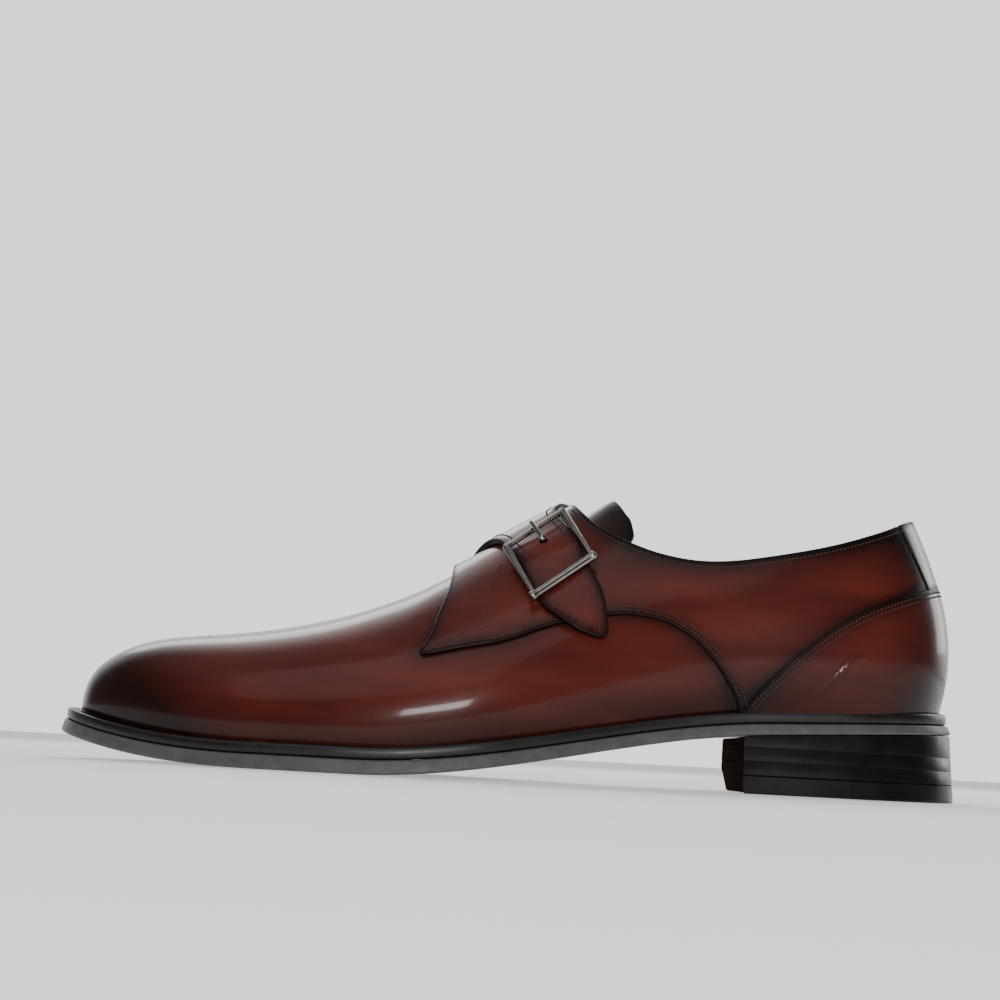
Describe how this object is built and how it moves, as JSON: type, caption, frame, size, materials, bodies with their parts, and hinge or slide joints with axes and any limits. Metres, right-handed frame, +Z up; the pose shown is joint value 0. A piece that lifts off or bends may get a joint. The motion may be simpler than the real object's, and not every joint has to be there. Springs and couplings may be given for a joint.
{
  "type": "monk strap shoe",
  "caption": "Men's dress shoe in burnished burgundy leather with one buckled strap over the instep, welted leather sole, stacked heel and raised heel counter.",
  "frame": {"origin": "centre of the footprint box on the floor", "axes": "X from toe to heel, Y from the lateral side with the buckle to the medial side, Z up from the floor"},
  "size_m": [0.3054, 0.1072, 0.0986],
  "materials": {
    "leather": "burnished gloss",
    "dark_leather": "polished edge",
    "sole_leather": "matte",
    "tan_leather": "satin",
    "cream_leather": "matte",
    "heel_rubber": "matte",
    "stack_leather": "polished edge",
    "steel": "polished"
  },
  "bodies": {
    "root": {"outsole": "sole_leather", "welt": "dark_leather", "insole": "tan_leather", "heel_top_piece_front": "cream_leather", "heel_top_piece_rear": "heel_rubber", "heel_lift_1": "stack_leather", "heel_lift_2": "stack_leather", "heel_lift_3": "stack_leather", "upper": "leather", "quarter_lateral": "leather", "quarter_medial_strap": "leather", "counter": "leather", "back_strip": "leather", "tongue": "leather", "buckle_frame": "steel", "buckle_prong": "steel"}
  },
  "joints": []
}
